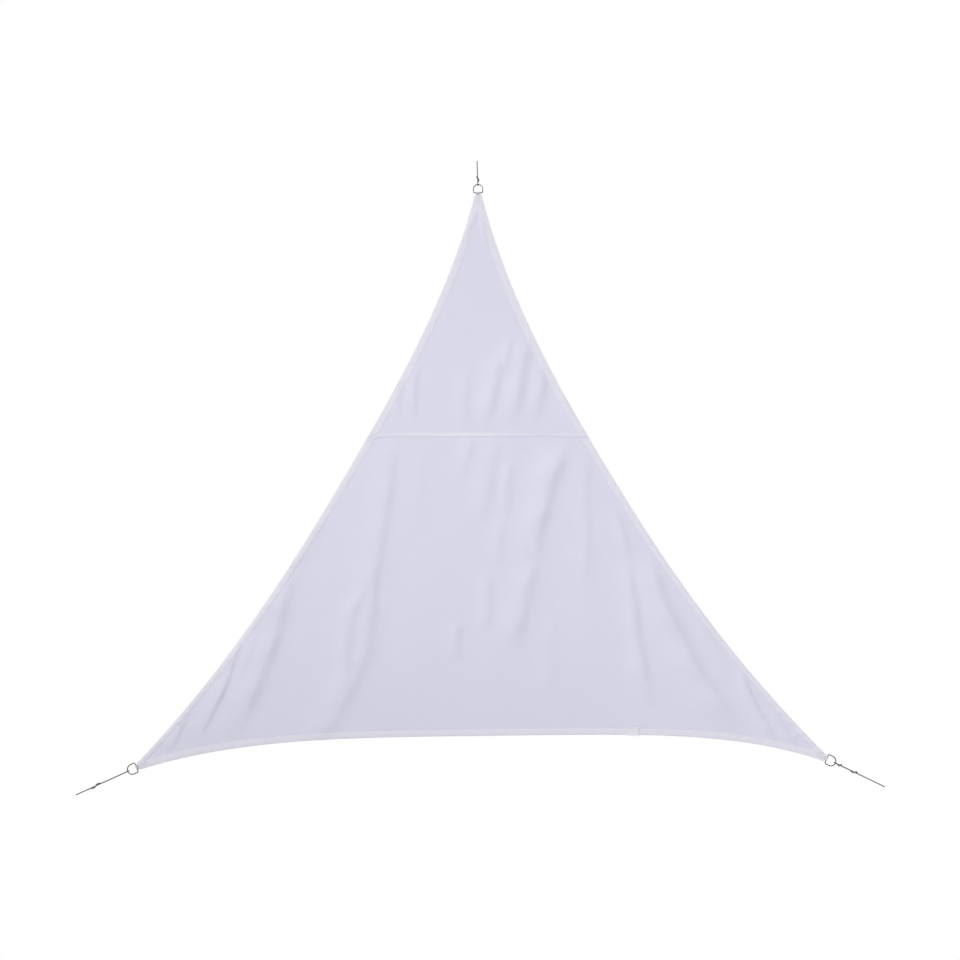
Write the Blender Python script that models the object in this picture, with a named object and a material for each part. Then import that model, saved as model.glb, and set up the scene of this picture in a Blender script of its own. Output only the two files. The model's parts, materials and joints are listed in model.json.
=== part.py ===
"""A triangular shade sail, strung upright between three short ropes.

Metres, +Z up. The origin is the upper end of the head rope, which is what holds the sail up.
The sail hangs in the XZ plane and its front looks along -Y. Positive depth is towards the back.
"""

import math
from collections import namedtuple

import bpy
import bmesh
from mathutils import Vector

# ---------------------------------------------------------------- driving sizes

CLOTH = 0.0015            # cloth thickness
HEM_CLOTH = 0.0024        # thickness of the turned and stitched hem
HEM = 0.030               # hem width
HEM_STEP = 0.004          # how fast the hem thins to single cloth
GAP = 0.0004              # air between neighbouring pieces
LAP = 0.018               # overlap of the two panels at the seam
SEAM_Z = -1.307           # upper edge of the lower panel
BELLY = 0.040             # how far the middle of the sail bulges to the front
TIP_HALF = 0.015          # half the width of each cut-off corner

WIRE = 0.0025             # radius of the ring's wire
RING_WIDE = 0.043         # ring, wire centre to wire centre
RING_HIGH = 0.041
RING_CORNER = 0.006       # bend radius at the ends of the straight bar
BAR_OUT = 0.008           # from the cut-off corner to the ring's straight bar

WEB = 0.0014              # webbing thickness
WEB_HALF = 0.010          # half the webbing's width
WEB_TAIL = 0.045          # length sewn behind the corner

ROPE = 0.0025             # rope radius
ROPE_GAP = 0.0003         # air between two strands, and between a strand and the ring

LABEL_WIDE = 0.052
LABEL_HIGH = 0.034
LABEL_THICK = 0.0008
LABEL_X = 0.677           # middle of the label
LABEL_DROP = 0.004        # how far the label shows below the hem

UPPER_COLUMNS, UPPER_ROWS = 26, 14
LOWER_COLUMNS, LOWER_ROWS = 68, 20
RING_ARC_STEPS, RING_BEND_STEPS = 14, 3
STRAND_STEP = 0.012       # distance between points along a plain strand
WIND_STEP = 0.0026        # the same where the rope bends sharply
PARTING = 0.012           # from the ring's crown to where the two strands meet

HEAD_PULL = math.radians(92.0)
HEAD_REACH = 0.1650       # from the head's cut-off end to the origin
HEAD_X = -HEAD_REACH * math.cos(HEAD_PULL)
HEAD_Z = -HEAD_REACH * math.sin(HEAD_PULL)

# Each corner: where its cut-off end is, which way the rope pulls, and how far the rope reaches.
Corner = namedtuple("Corner", "x z pull reach")
CORNERS = {
    "head": Corner(HEAD_X, HEAD_Z, HEAD_PULL, HEAD_REACH),
    "left": Corner(-1.4637, -2.7753, math.radians(204.5), 0.2895),
    "right": Corner(1.5070, -2.7390, math.radians(-25.8), 0.2810),
}

# Each edge is hollow: it bends in by sag at its middle, and the two powers say how full each half is.
Edge = namedtuple("Edge", "start start_side end end_side sag start_power end_power inward")
EDGES = {
    "left_side": Edge("head", 1, "left", -1, 0.148, 2.77, 2.40, 1),
    "right_side": Edge("head", -1, "right", 1, 0.169, 2.64, 2.23, -1),
    "bottom": Edge("left", 1, "right", -1, 0.125, 3.48, 4.23, 1),
}

# One row for each fold: a soft ridge along a bent line, given by three of its points (x, z).
# rise is how far it stands to the front; left and right are how quickly each flank falls away.
Fold = namedtuple("Fold", "start bend end rise left right")
FOLDS = [
    Fold((0.198, -0.78), (0.187, -1.03), (0.163, -1.29), 0.0075, 0.045, 0.034),
    Fold((0.100, -0.78), (0.080, -1.05), (0.050, -1.29), 0.0065, 0.045, 0.032),
    Fold((0.285, -0.92), (0.278, -1.10), (0.274, -1.29), 0.0045, 0.040, 0.030),
    Fold((-0.055, -0.98), (-0.055, -1.14), (-0.066, -1.29), 0.0035, 0.050, 0.034),
    Fold((-0.262, -0.92), (-0.275, -1.08), (-0.297, -1.27), 0.0040, 0.040, 0.024),
    Fold((-0.352, -1.04), (-0.360, -1.15), (-0.378, -1.27), 0.0030, 0.030, 0.024),
    Fold((-0.405, -1.33), (-0.455, -1.72), (-0.482, -2.12), 0.0080, 0.120, 0.046),
    Fold((-0.478, -1.86), (-0.500, -2.26), (-0.745, -2.68), 0.0140, 0.130, 0.056),
    Fold((-0.540, -2.02), (-0.575, -2.26), (-0.610, -2.50), 0.0060, 0.080, 0.040),
    Fold((-0.830, -1.88), (-0.935, -2.27), (-1.065, -2.67), 0.0130, 0.100, 0.052),
    Fold((-1.055, -2.20), (-1.125, -2.43), (-1.205, -2.70), 0.0090, 0.060, 0.030),
    Fold((0.760, -1.80), (0.885, -2.25), (1.130, -2.66), 0.0130, 0.110, 0.050),
    Fold((0.655, -1.86), (0.676, -2.20), (0.740, -2.54), 0.0080, 0.070, 0.034),
    Fold((1.140, -2.34), (1.205, -2.51), (1.270, -2.68), 0.0060, 0.050, 0.024),
    Fold((0.425, -1.33), (0.300, -1.58), (0.255, -1.88), 0.0140, 0.110, 0.056),
    Fold((0.262, -1.84), (0.210, -2.03), (0.145, -2.29), 0.0080, 0.090, 0.040),
    Fold((0.080, -1.34), (0.034, -1.53), (0.012, -1.74), 0.0055, 0.060, 0.036),
    Fold((0.478, -1.40), (0.464, -1.80), (0.454, -2.20), 0.0050, 0.060, 0.040),
]
FOLD_FADE = 0.28          # share of a fold's length over which it rises and dies away

# Where the tail of each rope lies: it runs back behind the standing rope from the ring to tail_end,
# and winds round it between each pair of distances.
Tail = namedtuple("Tail", "tail_end winds")
Wind = namedtuple("Wind", "start end turns")
TAILS = {
    "head": Tail(0.052, [Wind(0.010, 0.046, 1)]),
    "left": Tail(0.190, [Wind(0.116, 0.178, 1)]),
    "right": Tail(0.120, [Wind(0.012, 0.032, 1), Wind(0.070, 0.110, 1)]),
}


# ---------------------------------------------------------------- shared shapes


def smooth(t):
    """0 below 0, 1 above 1, and a soft rise between."""
    t = min(max(t, 0.0), 1.0)
    return t * t * (3 - 2 * t)


def mix(a, b, t):
    return (a[0] + (b[0] - a[0]) * t, a[1] + (b[1] - a[1]) * t)


def heading(degrees):
    angle = math.radians(degrees)
    return math.cos(angle), math.sin(angle)


def corner_point(name, out, side, depth):
    """A point given from a corner's cut-off end: out along the pull, side to the left of it, depth."""
    corner = CORNERS[name]
    c, s = math.cos(corner.pull), math.sin(corner.pull)
    return Vector((corner.x + c * out - s * side, depth, corner.z + s * out + c * side))


def tip_end(name, side):
    """One end of a corner's cut-off end, as (x, z)."""
    point = corner_point(name, 0.0, side * TIP_HALF, 0.0)
    return point.x, point.z


def edge_point(name, t):
    """A point of a hollow edge, as (x, z), for t from 0 to 1."""
    edge = EDGES[name]
    a, b = tip_end(edge.start, edge.start_side), tip_end(edge.end, edge.end_side)
    length = math.dist(a, b)
    away = abs(2 * t - 1)
    power = edge.start_power if t < 0.5 else edge.end_power
    hollow = edge.sag * (1 - away**power) * edge.inward
    x, z = mix(a, b, t)
    return x - (b[1] - a[1]) / length * hollow, z + (b[0] - a[0]) / length * hollow


def edge_at_height(name, z):
    """The share of a side edge at which it passes a height."""
    low, high = 0.0, 1.0
    for _ in range(40):
        middle = (low + high) / 2
        if edge_point(name, middle)[1] > z:
            low = middle
        else:
            high = middle
    return low


def belly(x, z):
    """How far the slack middle of the sail bulges to the front; nothing at the corners."""
    (x0, z0), (x1, z1), (x2, z2) = ((c.x, c.z) for c in CORNERS.values())
    area = (x1 - x0) * (z2 - z0) - (x2 - x0) * (z1 - z0)
    b = ((x - x0) * (z2 - z0) - (x2 - x0) * (z - z0)) / area
    c = ((x1 - x0) * (z - z0) - (x - x0) * (z1 - z0)) / area
    return BELLY * 27 * max(0.0, (1 - b - c) * b * c)


def ridge(fold, x, z):
    """How far one fold brings the cloth forward at a point."""
    (x0, z0), (xb, zb), (x1, z1) = fold.start, fold.bend, fold.end
    t = (z - z0) / (z1 - z0)
    if not 0 < t < 1:
        return 0.0
    tb = (zb - z0) / (z1 - z0)
    bow = (xb - x0 - (x1 - x0) * tb) / (tb * (1 - tb))
    line = x0 + (x1 - x0) * t + bow * t * (1 - t)
    slant = (x1 - x0 + bow * (1 - 2 * t)) / (z1 - z0)
    away = (x - line) / math.hypot(1, slant)
    flank = fold.left if away < 0 else fold.right
    strength = smooth(t / FOLD_FADE) * smooth((1 - t) / FOLD_FADE)
    return fold.rise * strength * math.exp(-((away / flank) ** 2))


def depth(x, z):
    """The depth of the middle of the cloth."""
    return -belly(x, z) - sum(ridge(fold, x, z) for fold in FOLDS)


def new_object(name, mesh, material):
    piece = bpy.data.objects.new(name, mesh)
    piece.data.materials.append(material)
    bpy.context.scene.collection.objects.link(piece)
    return piece


def plain_material(name, color, roughness, metallic=0.0):
    material = bpy.data.materials.new(name)
    material.use_nodes = True
    shader = material.node_tree.nodes["Principled BSDF"]
    shader.inputs["Base Color"].default_value = (*color, 1.0)
    shader.inputs["Roughness"].default_value = roughness
    shader.inputs["Metallic"].default_value = metallic
    return material


def sheet_mesh(name, grid):
    """A closed sheet from a grid of (x, z, depth, half thickness)."""
    shell = bmesh.new()
    front = [[shell.verts.new((x, y - half, z)) for x, z, y, half in row] for row in grid]
    back = [[shell.verts.new((x, y + half, z)) for x, z, y, half in row] for row in grid]
    rows, columns = len(grid), len(grid[0])
    for r in range(rows - 1):
        for c in range(columns - 1):
            f = front[r][c], front[r + 1][c], front[r + 1][c + 1], front[r][c + 1]
            b = back[r][c], back[r][c + 1], back[r + 1][c + 1], back[r + 1][c]
            shell.faces.new(f)
            shell.faces.new(b)
    rim = [(0, c) for c in range(columns)]
    rim += [(r, columns - 1) for r in range(1, rows)]
    rim += [(rows - 1, c) for c in range(columns - 2, -1, -1)]
    rim += [(r, 0) for r in range(rows - 2, 0, -1)]
    for (r, c), (r2, c2) in zip(rim, rim[1:] + rim[:1]):
        shell.faces.new((front[r][c], front[r2][c2], back[r2][c2], back[r][c]))
    bmesh.ops.triangulate(shell, faces=shell.faces)
    bmesh.ops.recalc_face_normals(shell, faces=shell.faces)
    mesh = bpy.data.meshes.new(name)
    shell.to_mesh(mesh)
    shell.free()
    mesh.shade_smooth()
    mesh.set_sharp_from_angle(angle=math.radians(40))
    return mesh


def shares(count, width):
    """Shares across a row: the hem's own columns at both ends, and count steps between."""
    hem = min(HEM / math.cos(math.radians(30)) / width, 0.25)
    step = min(HEM_STEP / width, 0.05)
    inner = hem + step
    middle = [inner + (1 - 2 * inner) * i / count for i in range(count + 1)]
    return [0.0, hem] + middle + [1 - hem, 1.0]


# ---------------------------------------------------------------- cloth panels


def upper_panel(material):
    """The narrow top panel, from the head down to the seam, which it laps in front."""
    bottom = SEAM_Z - LAP
    ends = edge_at_height("left_side", bottom), edge_at_height("right_side", bottom)
    lap_share = LAP / (CORNERS["head"].z - bottom)
    levels = [i / UPPER_ROWS * (1 - lap_share) for i in range(UPPER_ROWS + 1)] + [1.0]
    grid = []
    for level in levels:
        a = edge_point("left_side", ends[0] * level)
        b = edge_point("right_side", ends[1] * level)
        columns = shares(UPPER_COLUMNS, math.dist(a, b))
        in_lap = level > 1 - 1.5 * lap_share
        forward = (CLOTH + GAP) * smooth((level - 0.6) / 0.3)
        row = []
        for i, u in enumerate(columns):
            x, z = mix(a, b, u)
            hem = i < 2 or i > len(columns) - 3
            thickness = HEM_CLOTH if hem and not in_lap else CLOTH
            row.append((x, z, depth(x, z) - forward, thickness / 2))
        grid.append(row)
    return new_object("upper_panel", sheet_mesh("upper_panel", grid), material)


def lower_side(name, tip, sides, level, hem_level):
    """The lower panel's left or right boundary: down the side edge, then across the cut-off end."""
    start = edge_at_height(name, SEAM_Z)
    if level <= hem_level:
        return edge_point(name, start + (1 - start) * level / hem_level)
    top, low = (tip_end(tip, side) for side in sides)
    return mix(top, low, (level - hem_level) / (1 - hem_level))


def lower_panel(material):
    """The wide bottom panel: rows blend from the straight seam to the hollow bottom edge."""
    height = SEAM_Z - edge_point("bottom", 0.5)[1]
    hem_level = 1 - HEM / height
    step_level = hem_level - HEM_STEP / height
    lap_level = LAP / height
    middle = [lap_level + (step_level - lap_level) * i / LOWER_ROWS for i in range(LOWER_ROWS + 1)]
    levels = [0.0] + middle + [hem_level, 1.0]
    seam_a = edge_point("left_side", edge_at_height("left_side", SEAM_Z))
    seam_b = edge_point("right_side", edge_at_height("right_side", SEAM_Z))
    low_a, low_b = edge_point("bottom", 0.0), edge_point("bottom", 1.0)
    grid = []
    for level in levels:
        a = lower_side("left_side", "left", (-1, 1), level, hem_level)
        b = lower_side("right_side", "right", (1, -1), level, hem_level)
        columns = shares(LOWER_COLUMNS, math.dist(a, b))
        bottom_hem = level >= hem_level
        in_lap = level <= lap_level
        row = []
        for i, u in enumerate(columns):
            across = mix(a, b, u)
            down = mix(mix(seam_a, seam_b, u), edge_point("bottom", u), level)
            flat = mix(mix(seam_a, seam_b, u), mix(low_a, low_b, u), level)
            x, z = across[0] + down[0] - flat[0], across[1] + down[1] - flat[1]
            hem = bottom_hem or i < 2 or i > len(columns) - 3
            thickness = HEM_CLOTH if hem and not in_lap else CLOTH
            row.append((x, z, depth(x, z), thickness / 2))
        grid.append(row)
    return new_object("lower_panel", sheet_mesh("lower_panel", grid), material)


def label(material):
    """A small blank tab sewn to the front of the bottom hem."""
    t = (LABEL_X - tip_end("left", 1)[0]) / (tip_end("right", -1)[0] - tip_end("left", 1)[0])
    bottom = edge_point("bottom", t)[1] - LABEL_DROP
    grid = []
    for r in range(4):
        z = bottom + LABEL_HIGH * (1 - r / 3)
        xs = [LABEL_X + LABEL_WIDE * (c / 4 - 0.5) for c in range(5)]
        forward = HEM_CLOTH / 2 + 2 * GAP + LABEL_THICK / 2
        grid.append([(x, z, depth(x, z) - forward, LABEL_THICK / 2) for x in xs])
    return new_object("hem_label", sheet_mesh("hem_label", grid), material)


# ---------------------------------------------------------------- corner fittings


def arc(centre, radius, start, end, steps):
    """Points on an arc, in degrees, as (first, second) pairs."""
    angles = [start + (end - start) * i / steps for i in range(steps + 1)]
    return [tuple(c + radius * h for c, h in zip(centre, heading(a))) for a in angles]


def tube(name, points, radius, material, cyclic=False):
    """A round tube through points, with flat caps where it is open."""
    curve = bpy.data.curves.new(name, "CURVE")
    curve.dimensions = "3D"
    curve.bevel_depth = radius
    curve.bevel_resolution = 2
    curve.use_fill_caps = True
    spline = curve.splines.new("POLY")
    spline.points.add(len(points) - 1)
    for place, point in zip(spline.points, points):
        place.co = (*point, 1.0)
    spline.use_cyclic_u = cyclic
    spline.use_smooth = True
    return new_object(name, curve, material)


def ring(name, material):
    """A welded D-ring in the plane of the cloth: straight bar towards the sail, arc towards the rope."""
    half = RING_WIDE / 2
    centre = BAR_OUT + RING_HIGH - half
    low = BAR_OUT + RING_CORNER
    reach = half - RING_CORNER
    outline = arc((centre, 0.0), half, -90, 90, RING_ARC_STEPS)
    outline += arc((low, reach), RING_CORNER, 90, 180, RING_BEND_STEPS)
    outline += arc((low, -reach), RING_CORNER, 180, 270, RING_BEND_STEPS)
    points = [corner_point(name, out, side, 0.0) for out, side in outline]
    return tube(f"ring_{name}", points, WIRE, material, cyclic=True)


def strap_line():
    """The webbing's middle line, as (out, depth): up behind the corner, round the bar, and back."""
    bend = WIRE + 0.0003 + WEB / 2
    front_ply = HEM_CLOTH / 2 + GAP + WEB / 2
    back_ply = front_ply + WEB + GAP
    turn = arc((BAR_OUT, 0.0), bend, 90, -135, 9)
    last = turn[-1]
    tuck = last[0] - (front_ply - last[1])
    return [(-WEB_TAIL, back_ply), (0.0, back_ply)] + turn + [(tuck, front_ply), (-WEB_TAIL, front_ply)]


def thicken(line, half):
    """Both sides of a bent strip, as two lists of points at half from its middle line."""
    sides = [], []
    for i, (a, b) in enumerate(line):
        before = line[max(i - 1, 0)]
        after = line[min(i + 1, len(line) - 1)]
        runs = [run for run in ((before, (a, b)), ((a, b), after)) if run[0] != run[1]]
        along = [math.atan2(q[1] - p[1], q[0] - p[0]) for p, q in runs]
        turn = (along[-1] - along[0] + math.pi) % (2 * math.pi) - math.pi
        middle = along[0] + turn / 2
        reach = half / math.cos(turn / 2)
        sides[0].append((a - math.sin(middle) * reach, b + math.cos(middle) * reach))
        sides[1].append((a + math.sin(middle) * reach, b - math.cos(middle) * reach))
    return sides


def strap(name, material):
    """The webbing loop that holds the ring, one strip folded in two, sewn behind the corner."""
    left, right = thicken(strap_line(), WEB / 2)
    section = left + right[::-1]
    shell = bmesh.new()
    ends = [
        [shell.verts.new(corner_point(name, out, side, deep)) for out, deep in section]
        for side in (-WEB_HALF, WEB_HALF)
    ]
    count = len(section)
    for i in range(count):
        j = (i + 1) % count
        shell.faces.new((ends[0][i], ends[0][j], ends[1][j], ends[1][i]))
    for i in range(count // 2 - 1):
        for end in ends:
            shell.faces.new((end[i], end[i + 1], end[count - 2 - i], end[count - 1 - i]))
    bmesh.ops.triangulate(shell, faces=shell.faces)
    bmesh.ops.recalc_face_normals(shell, faces=shell.faces)
    mesh = bpy.data.meshes.new(f"webbing_{name}")
    shell.to_mesh(mesh)
    shell.free()
    return new_object(f"webbing_{name}", mesh, material)


# ---------------------------------------------------------------- ropes


def wound(tail, distance):
    """How far round the standing rope the tail is, in turns, at a distance from the ring."""
    return sum(w.turns * smooth((distance - w.start) / (w.end - w.start)) for w in tail.winds)


def in_wind(tail, distance):
    return any(w.start - 0.002 < distance < w.end + 0.002 for w in tail.winds)


def parted(distance):
    """How far apart the ring still holds the two strands: 1 at the ring, 0 past PARTING."""
    return 1 - smooth(distance / PARTING)


def rope(name, material):
    """One length of rope: its tail, one turn round the ring's crown, and the standing part."""
    tail = TAILS[name]
    crown = BAR_OUT + RING_HIGH
    apart = 2 * ROPE + ROPE_GAP
    bend = WIRE + ROPE + ROPE_GAP
    stations, distance = [], tail.tail_end
    while distance > 0.002:
        stations.append(distance)
        distance -= WIND_STEP if in_wind(tail, distance) or distance < 0.01 else STRAND_STEP
    route = []
    for distance in stations:
        c, s = heading(90 + 360 * wound(tail, distance))
        spread = apart + (2 * bend - apart) * parted(distance)
        route.append((crown + distance, spread * c, spread * s - bend * parted(distance)))
    for out, deep in arc((crown, 0.0), bend, 90, 270, 8):
        route.append((out, 0.0, deep))
    distance = WIND_STEP
    reach = CORNERS[name].reach - crown
    while distance < reach - STRAND_STEP / 2:
        route.append((crown + distance, 0.0, -bend * parted(distance)))
        distance += WIND_STEP if distance < 2 * PARTING else STRAND_STEP
    route.append((crown + reach, 0.0, 0.0))
    points = [corner_point(name, *place) for place in route]
    return tube(f"rope_{name}", points, ROPE, material)


# ---------------------------------------------------------------- the whole sail

for old in list(bpy.data.objects):
    bpy.data.objects.remove(old, do_unlink=True)

cloth_material = plain_material("sail_cloth", (0.72, 0.71, 0.80), 0.85)
webbing_material = plain_material("webbing", (0.80, 0.80, 0.82), 0.80)
ring_material = plain_material("ring_steel", (0.62, 0.62, 0.63), 0.22, 1.0)
rope_material = plain_material("rope", (0.20, 0.20, 0.18), 0.85)
label_material = plain_material("label", (0.82, 0.82, 0.86), 0.60)

upper_panel(cloth_material)
lower_panel(cloth_material)
label(label_material)
for corner_name in CORNERS:
    ring(corner_name, ring_material)
    strap(corner_name, webbing_material)
    rope(corner_name, rope_material)
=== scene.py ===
# %% [markdown]
# # A shade sail strung up between three ropes
#
# The object is a three-cornered sheet of polyester, about 3 m along each side. Two cloth panels are
# lapped and sewn at a cross seam, the edges are hollow and hemmed, and each corner has a loop of
# webbing, a steel D-ring and a short rope.
#
# A frame of plain solids in metres is already packed. Everything here goes in the places that the
# frame gives, so nothing has to be fitted by eye afterwards. The work goes from the camera and the
# ropes to the cloth, then to the fittings at the corners, and ends with the light.

# %% Load the frame
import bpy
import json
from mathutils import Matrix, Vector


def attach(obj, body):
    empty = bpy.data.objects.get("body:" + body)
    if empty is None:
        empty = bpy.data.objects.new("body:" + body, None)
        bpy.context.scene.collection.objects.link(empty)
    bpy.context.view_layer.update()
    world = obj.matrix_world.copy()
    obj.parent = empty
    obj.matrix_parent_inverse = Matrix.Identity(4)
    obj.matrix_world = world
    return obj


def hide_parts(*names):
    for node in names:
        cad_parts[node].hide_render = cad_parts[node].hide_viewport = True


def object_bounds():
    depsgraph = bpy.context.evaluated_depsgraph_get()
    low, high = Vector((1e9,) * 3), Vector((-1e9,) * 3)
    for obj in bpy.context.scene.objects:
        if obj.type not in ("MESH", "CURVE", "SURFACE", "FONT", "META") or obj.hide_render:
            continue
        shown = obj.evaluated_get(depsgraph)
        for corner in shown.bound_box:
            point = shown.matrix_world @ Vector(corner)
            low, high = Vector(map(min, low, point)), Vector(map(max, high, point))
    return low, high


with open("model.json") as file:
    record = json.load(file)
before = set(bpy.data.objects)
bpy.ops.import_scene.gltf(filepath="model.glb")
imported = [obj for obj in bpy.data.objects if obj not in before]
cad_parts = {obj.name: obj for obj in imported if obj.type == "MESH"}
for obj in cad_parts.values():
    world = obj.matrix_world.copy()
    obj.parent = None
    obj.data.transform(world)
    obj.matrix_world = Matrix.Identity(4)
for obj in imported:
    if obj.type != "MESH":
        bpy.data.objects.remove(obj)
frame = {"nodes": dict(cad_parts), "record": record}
frame_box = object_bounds()
print("frame:", len(frame["nodes"]), "nodes, from", *[[round(v, 3) for v in end] for end in frame_box])

# %% Modules
import json
import math

import bpy
import numpy as np
from mathutils import Vector

print("Blender", bpy.app.version_string)

# %% [markdown]
# ## The camera
#
# The sail hangs upright, and it is looked at from the front, from low down: a camera a little above
# the lower corners, 6 m away, tilted up by 10 degrees. A lens of 50 mm at that distance keeps the
# three sides in their true proportions, with a little more width low down than high up. A longer lens
# from further back would flatten even that, and a shorter one would stretch the corners.

# %% Camera
def placed(name, data):
    """A new object for some data, put in the scene."""
    made = bpy.data.objects.new(name, data)
    bpy.context.scene.collection.objects.link(made)
    return made


LOOK_UP = math.radians(10.0)
CAMERA_DISTANCE = 6.0
AIM_OFF_CENTRE = Vector((-0.0024, 0.0, -0.0687))
middle = (frame_box[0] + frame_box[1]) / 2
aim = Vector((middle.x, 0.0, middle.z)) + AIM_OFF_CENTRE
camera_data = bpy.data.cameras.new("camera")
camera_data.sensor_width = 36.0
camera_data.lens = 50.14
camera = placed("camera", camera_data)
camera.location = aim - CAMERA_DISTANCE * Vector((0.0, math.cos(LOOK_UP), math.sin(LOOK_UP)))
camera.rotation_euler = (math.pi / 2 + LOOK_UP, 0.0, 0.0)
bpy.context.scene.camera = camera
print("camera at", [round(v, 3) for v in camera.location])

# %% [markdown]
# ## The three corners
#
# Rings, webbing and ropes all lie along the pull of their corner. It is easiest to describe each of
# them once, in a corner's own directions: *out* along the pull from the cut-off end of the cloth,
# *side* across it, and *depth* towards the back. The record of the frame names the end of each rope
# and the way it points, so the corner lies one rope's reach behind it. One small function then turns
# a place in a corner's directions into a place in the room.

# %% Corner directions
ROPE_REACH = {"head": 0.1650, "left": 0.2895, "right": 0.2810}
rope_ends = {m["name"].split("_")[0]: m for m in frame["record"]["mounts"]}
pulls = {name: Vector(rope_ends[name]["axis"]).normalized() for name in ROPE_REACH}
corners = {name: Vector(rope_ends[name]["pos_m"]) - pulls[name] * ROPE_REACH[name] for name in ROPE_REACH}


def corner_point(name, out, side, depth):
    """A place in the room, given in one corner's own directions."""
    start, pull = corners[name], pulls[name]
    return (
        start.x + pull.x * out - pull.z * side,
        depth,
        start.z + pull.z * out + pull.x * side,
    )


def in_room(name, places):
    """The same for an array of places, with out, side and depth on its last axis."""
    return np.stack(corner_point(name, *np.moveaxis(places, -1, 0)), -1)


print("corners:", {name: [round(v, 3) for v in corner] for name, corner in corners.items()})

# %% [markdown]
# ## Meshes from grids
#
# Ropes, rings, tape and cloth are all grids: rows of points in one direction, columns in the other.
# Blender could loft them from curves, but a grid that is worked out in numpy gives every point a
# number of its own, and these numbers can be kept on the mesh as attributes. The materials read them
# later, to know how far a point lies from an edge or how deep it sits in a braid.

# %% Soft steps and bumps
def smooth(t):
    """0 below 0, 1 above 1, and a soft rise between."""
    t = np.clip(t, 0.0, 1.0)
    return t * t * (3 - 2 * t)


def bump_at(x, centre, width):
    """A soft bump, 1 at its centre."""
    return np.exp(-(((x - centre) / width) ** 2))


def rounded(inside, radius, least=0.12):
    """A quarter circle, from almost 0 at an edge to 1 at a radius from it."""
    return np.sqrt(1 - (1 - np.clip(inside / radius, least, 1.0)) ** 2)


print("soft step at a quarter:", round(float(smooth(0.25)), 3))

# %% Grid helpers
def grid_quads(index):
    """Four-cornered faces between the neighbours of a grid of point numbers."""
    return np.stack([index[:-1, :-1], index[1:, :-1], index[1:, 1:], index[:-1, 1:]], -1).reshape(-1, 4)


def closed_sheet(front, back):
    """The points and faces of a thin sheet, closed round its rim, from two grids of points."""
    index = np.arange(front.shape[0] * front.shape[1]).reshape(front.shape[:2])
    quads = grid_quads(index)
    rim = np.concatenate([index[0], index[1:, -1], index[-1, -2::-1], index[-2:0:-1, 0]])
    after = np.roll(rim, -1)
    side = np.stack([rim, after, after + index.size, rim + index.size], -1)
    points = np.concatenate([front.reshape(-1, 3), back.reshape(-1, 3)])
    return points, np.concatenate([quads, quads[:, ::-1] + index.size, side]).tolist()


def piece_from(name, points, faces, material, slot, attributes=None, sharp=40, replaced=None):
    """A smooth-shaded piece that rides on the frame, with numbers of its own kept on its points."""
    mesh = bpy.data.meshes.new(name)
    mesh.from_pydata([tuple(p) for p in np.asarray(points, float)], [], faces)
    for key, values in (attributes or {}).items():
        values = np.asarray(values, np.float32)
        flat = values.ndim == 1
        kept = mesh.attributes.new(key, "FLOAT" if flat else "FLOAT_VECTOR", "POINT")
        kept.data.foreach_set("value" if flat else "vector", values.ravel())
    mesh.materials.append(material)
    mesh.shade_smooth()
    mesh.set_sharp_from_angle(angle=math.radians(sharp))
    piece = placed(name, mesh)
    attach(piece, "root")
    if replaced:
        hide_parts(replaced)
    print(name, len(points), "points", len(faces), "faces")
    return piece


print("grid helpers ready")

# %% [markdown]
# A rope or a ring is a tube swept along a line. The tube must not twist by itself, or a braid on it
# would look wrung out, so each ring of points takes over the directions of the one before and turns
# them only as far as the line bends.

# %% Swept tubes
def along(path):
    """The distance along a path at each of its points."""
    return np.concatenate([[0.0], np.cumsum(np.linalg.norm(np.diff(path, axis=0), axis=1))])


def evenly(path, step):
    """The same path with points about one step apart."""
    run = along(path)
    places = np.linspace(0, run[-1], max(2, round(run[-1] / step) + 1))
    return np.stack([np.interp(places, run, path[:, k]) for k in range(3)], -1)


def unit(vectors):
    """The same directions, with a length of one."""
    return vectors / np.linalg.norm(vectors, axis=-1, keepdims=True)


def untwisted(path):
    """Two directions across the path at each point, carried along without twisting."""
    tangents = unit(np.gradient(path, axis=0))
    across = np.array([0.0, 1.0, 0.0])
    first = []
    for tangent in tangents:
        across = unit(across - tangent * (across @ tangent))
        first.append(across)
    first = np.array(first)
    return first, np.cross(tangents, first)


def tube_rings(path, first, second, radius):
    """Rings of points round a path, from two directions across it and a radius for every point."""
    sides = radius.shape[1]
    turn = 2 * np.pi * np.arange(sides) / sides
    outward = first[:, None] * np.cos(turn)[None, :, None] + second[:, None] * np.sin(turn)[None, :, None]
    return path[:, None] + outward * radius[..., None]


def tube_faces(rows, sides, closed):
    """Faces of a tube, with an end cap of triangles round an extra point at both ends if it is open."""
    index = np.arange(rows * sides).reshape(rows, sides)
    index = np.concatenate([index, index[:, :1]], 1)
    if closed:
        return grid_quads(np.concatenate([index, index[:1]]))[:, ::-1].tolist()
    faces = grid_quads(index)[:, ::-1].tolist()
    for ring, tip, order in ((index[0], rows * sides, 1), (index[-1], rows * sides + 1, -1)):
        faces += [[tip, int(a), int(b)][::order] for a, b in zip(ring[:-1], ring[1:])]
    return faces


print("tubes ready")

# %% [markdown]
# ## Materials from nodes
#
# Every material is a Principled shader with a few nodes in front of it. Small helpers keep the
# recipes short: one makes a node and fills its inputs, and the others mix two colours, make noise in
# the object's own coordinates, or turn a height into a bump. Numbers that hold for a
# whole surface go straight on the shader, so that they survive an export.

# %% Node helpers
def new_material(name):
    material = bpy.data.materials.new(name)
    material.use_nodes = True
    tree = material.node_tree
    return material, tree, tree.nodes["Principled BSDF"]


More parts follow.
